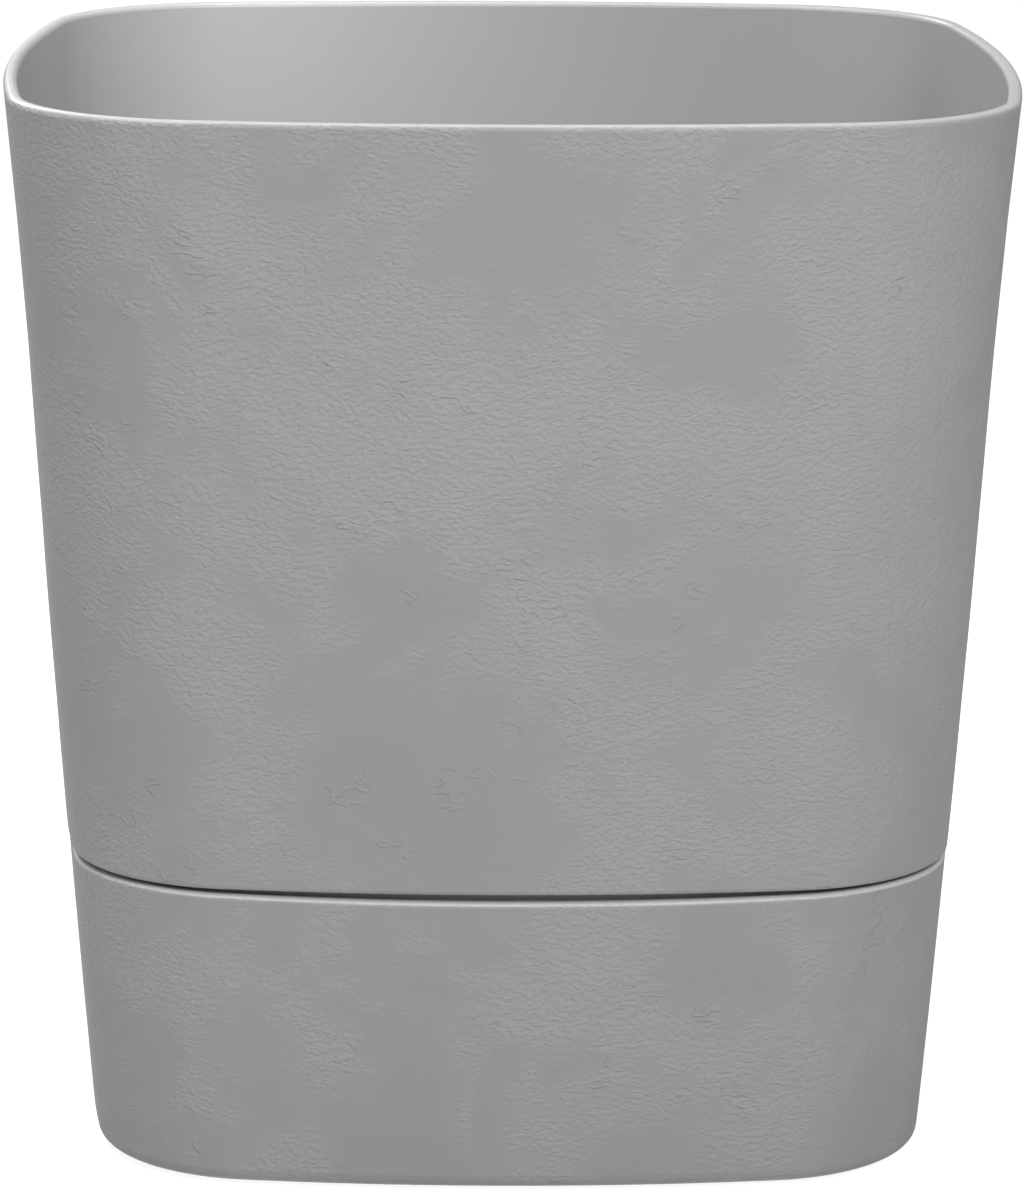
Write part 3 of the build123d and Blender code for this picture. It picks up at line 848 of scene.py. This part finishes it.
@dataclass(frozen=True)
class WickCup(SubAssembly):
    """One slotted cup and the round felt pad on its floor, a little uneven and thinner at its edge."""

    corner: str
    seed: int
    edge_drop: float = 0.0006
    unevenness: float = 0.00022
    inset: float = 0.0002
    segments: int = 72
    cuts: int = 3
    smoothing: float = 0.5

    @property
    def nodes(self) -> tuple[str, ...]:
        """The cup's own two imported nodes."""
        return ("wick_cup_" + self.corner, "wick_felt_" + self.corner)

    def build(self, wardrobe: Wardrobe) -> None:
        """Dresses the cup and lays its felt pad.

        Args:
            wardrobe: the finishes.
        """
        super().build(wardrobe)
        pad = self.model_pad()
        pad.data.materials.append(wardrobe.materials[Finish.FELT.value])
        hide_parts("wick_felt_" + self.corner)
        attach(pad, "wick_cup_" + self.corner)
        LOG.info("%s laid", pad.name)

    def model_pad(self) -> bpy.types.Object:
        """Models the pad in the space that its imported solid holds.

        Returns:
            The new piece.
        """
        low, high = (Vector(end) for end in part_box("wick_felt_" + self.corner))
        middle = (low + high) / 2
        deselect()
        bpy.ops.mesh.primitive_cylinder_add(
            vertices=self.segments,
            radius=(high.x - low.x) / 2 - self.inset,
            depth=high.z - low.z - self.edge_drop,
            end_fill_type="TRIFAN",
            location=(middle.x, middle.y, middle.z - self.edge_drop / 2),
        )
        pad = bpy.context.object
        pad.name = "felt_pad_" + self.corner
        bpy.ops.object.transform_apply(location=True, rotation=True, scale=True)
        bpy.ops.object.mode_set(mode="EDIT")
        bpy.ops.mesh.select_all(action="SELECT")
        bpy.ops.mesh.subdivide(number_cuts=self.cuts)
        bpy.ops.transform.vertex_random(offset=self.unevenness, uniform=0.0, normal=0.0, seed=self.seed)
        bpy.ops.mesh.vertices_smooth(factor=self.smoothing, repeat=2)
        bpy.ops.object.mode_set(mode="OBJECT")
        rounding = pad.modifiers.new("rounding", "SUBSURF")
        rounding.levels = rounding.render_levels = 1
        bpy.ops.object.modifier_apply(modifier="rounding")
        bpy.ops.object.shade_smooth()
        return pad


@dataclass(frozen=True)
class SoftLight:
    """A square soft light: place and aim in metres, power in watts, spread in degrees."""

    name: str
    place: Triple
    aim: Triple
    size: float
    power: float
    spread: float = 180.0

    def build(self) -> None:
        """Adds the light and turns it to its aim."""
        data = bpy.data.lights.new(self.name, "AREA")
        data.spread = math.radians(self.spread)
        data.size = self.size
        data.energy = self.power
        light = bpy.data.objects.new(self.name, data)
        bpy.context.scene.collection.objects.link(light)
        light.location = self.place
        beam = Vector(self.aim) - Vector(self.place)
        light.rotation_euler = beam.to_track_quat("-Z", "Y").to_euler()


@dataclass(frozen=True)
class Studio:
    """Floor, surround, soft lights and camera.

    A glow is its strength as light, and what is added to that where it is seen.
    """

    lights: tuple[SoftLight, ...] = (
        SoftLight("key_top", (-0.48, -0.1, 2.33), (0.0, 0.0, 0.3), 2.0, 78.0),
        SoftLight("fill_inside", (-0.13, -0.05, 0.60), (-0.10, 0.18, 0.36), 0.06, 0.08, 60.0),
        SoftLight("key_front_right", (0.48, -1.57, 1.16), (0.0, 0.0, 0.25), 0.6, 19.0),
        SoftLight("fill_back", (-0.7, 1.7, 1.3), (0.0, 0.0, 0.25), 0.8, 12.0),
    )
    lens: float = 165.75
    sensor: float = 36.0
    distance: float = 2.13717
    aim: Triple = (0.00179, 0.0000265, 0.18969)
    azimuth: float = -0.0148
    elevation: float = 0.2216
    roll: float = 0.0062
    far: float = 100.0
    floor_size: float = 40.0
    floor_colour: Triple = (0.30, 0.30, 0.30)
    floor_rough: float = 0.9
    floor_specular: float = 0.1
    floor_glow: Pair = (0.45, 0.43)
    surround_glow: Pair = (0.36, 0.64)
    white: Triple = (1.0, 1.0, 1.0)

    def build(self) -> None:
        """Sets up everything round the object."""
        self.add_floor()
        self.add_surround()
        for light in self.lights:
            light.build()
        self.add_camera()
        bpy.context.scene.view_settings.view_transform = "Standard"

    def add_floor(self) -> None:
        """Lays a plain pale floor."""
        deselect()
        bpy.ops.mesh.primitive_plane_add(size=self.floor_size)
        floor = bpy.context.object
        floor.name = "studio_floor"
        material = bpy.data.materials.new("studio_floor")
        material.use_nodes = True
        shader = material.node_tree.nodes["Principled BSDF"].inputs
        shader["Base Color"].default_value = rgba(self.floor_colour)
        shader["Emission Color"].default_value = rgba(self.white)
        shader["Roughness"].default_value = self.floor_rough
        shader["Specular IOR Level"].default_value = self.floor_specular
        self.glow(material.node_tree, shader["Emission Strength"], self.floor_glow)
        floor.data.materials.append(material)

    def add_surround(self) -> None:
        """Sets an even pale surround, white where it is seen and softer where it only lights."""
        world = bpy.data.worlds.new("studio_world")
        bpy.context.scene.world = world
        world.use_nodes = True
        background = world.node_tree.nodes["Background"].inputs
        background["Color"].default_value = rgba(self.white)
        self.glow(world.node_tree, background["Strength"], self.surround_glow)

    def glow(self, tree: bpy.types.NodeTree, strength: Socket, level: Pair) -> None:
        """Joins a strength to a level as light and what is added where it is seen.

        Args:
            tree: the floor's or the surround's node tree.
            strength: the input that takes the strength.
            level: strength as light, and what is added where it is seen.
        """
        graph = Graph(tree)
        seen = graph.add("LightPath").outputs["Is Camera Ray"]
        graph.put(strength, graph.times_plus(seen, level[1], level[0]))

    def add_camera(self) -> None:
        """Places the camera before the object, a little above it."""
        data = bpy.data.cameras.new("camera")
        data.lens = self.lens
        data.sensor_width = self.sensor
        data.clip_end = self.far
        camera = bpy.data.objects.new("camera", data)
        bpy.context.scene.collection.objects.link(camera)
        turn, lift = self.azimuth, self.elevation
        back = Vector((math.sin(turn) * math.cos(lift), -math.cos(turn) * math.cos(lift), math.sin(lift)))
        right = (-back).cross(Vector((0.0, 0.0, 1.0))).normalized()
        up = right.cross(-back)
        tilt_right = right * math.cos(self.roll) + up * math.sin(self.roll)
        tilt_up = up * math.cos(self.roll) - right * math.sin(self.roll)
        axes = Matrix((tilt_right, tilt_up, back)).transposed()
        camera.matrix_world = Matrix.Translation(Vector(self.aim) + back * self.distance) @ axes.to_4x4()
        bpy.context.scene.camera = camera


def main() -> None:
    """Dresses each sub-assembly and sets the studio."""
    logging.basicConfig(level=logging.INFO, format="%(name)s: %(message)s")
    wardrobe = Wardrobe(Effects())
    cups = [WickCup(corner, seed) for seed, corner in enumerate(CORNERS, start=1)]
    for assembly in (WaterTank(), Pot(), *cups, Filler(), LevelGauge(), Ports()):
        assembly.build(wardrobe)
    Studio().build()


if __name__ == "__main__":
    main()
